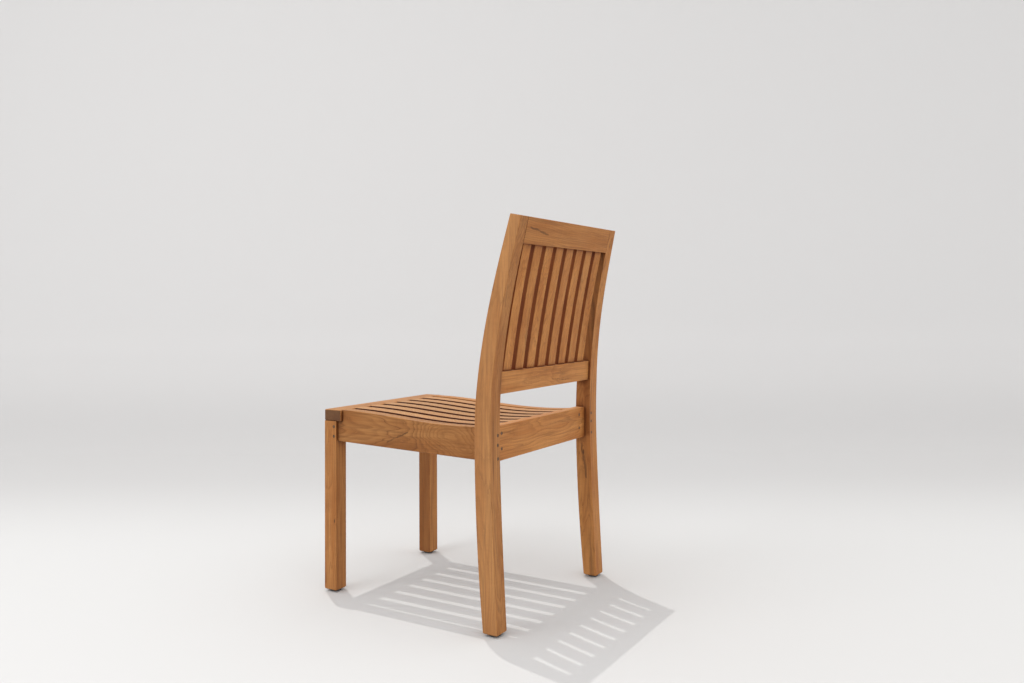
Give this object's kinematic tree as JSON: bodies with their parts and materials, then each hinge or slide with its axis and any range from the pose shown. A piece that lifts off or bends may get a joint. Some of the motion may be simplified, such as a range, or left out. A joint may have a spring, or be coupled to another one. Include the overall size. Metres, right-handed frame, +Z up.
{
  "type": "dining chair",
  "caption": "Rigid slatted hardwood side chair with a dished seat, raked back, upright back slats and pegged joints.",
  "frame": {"origin": "centre of the bounding box in plan, on the floor plane", "axes": "+Z up, +X towards the sitter's left, -Y the way the sitter faces; the chair mirrors across X = 0"},
  "size_m": [0.514, 0.5896, 0.8997],
  "materials": {
    "frame_wood": "oiled, satin",
    "peg_wood": "dark end grain, matte",
    "glide_pads": "matte"
  },
  "bodies": {
    "root": {"back_slat_1": "frame_wood", "back_slat_2": "frame_wood", "back_slat_3": "frame_wood", "back_slat_4": "frame_wood", "back_slat_5": "frame_wood", "back_slat_6": "frame_wood", "back_slat_7": "frame_wood", "back_slat_8": "frame_wood", "front_apron": "frame_wood", "front_board": "frame_wood", "front_leg_left": "frame_wood", "front_leg_peg_left_1": "peg_wood", "front_leg_peg_left_2": "peg_wood", "front_leg_peg_right_1": "peg_wood", "front_leg_peg_right_2": "peg_wood", "front_leg_right": "frame_wood", "glide_front_left": "glide_pads", "glide_front_right": "glide_pads", "glide_rear_left": "glide_pads", "glide_rear_right": "glide_pads", "lower_back_rail": "frame_wood", "rail_peg_left_1": "peg_wood", "rail_peg_left_2": "peg_wood", "rail_peg_right_1": "peg_wood", "rail_peg_right_2": "peg_wood", "rear_leg_left": "frame_wood", "rear_leg_peg_left_1": "peg_wood", "rear_leg_peg_left_2": "peg_wood", "rear_leg_peg_left_3": "peg_wood", "rear_leg_peg_right_1": "peg_wood", "rear_leg_peg_right_2": "peg_wood", "rear_leg_peg_right_3": "peg_wood", "rear_leg_right": "frame_wood", "rear_seat_rail": "frame_wood", "seat_slat_1": "frame_wood", "seat_slat_2": "frame_wood", "seat_slat_3": "frame_wood", "seat_slat_4": "frame_wood", "seat_slat_5": "frame_wood", "seat_slat_6": "frame_wood", "side_rail_left": "frame_wood", "side_rail_right": "frame_wood", "top_rail": "frame_wood"}
  },
  "joints": []
}
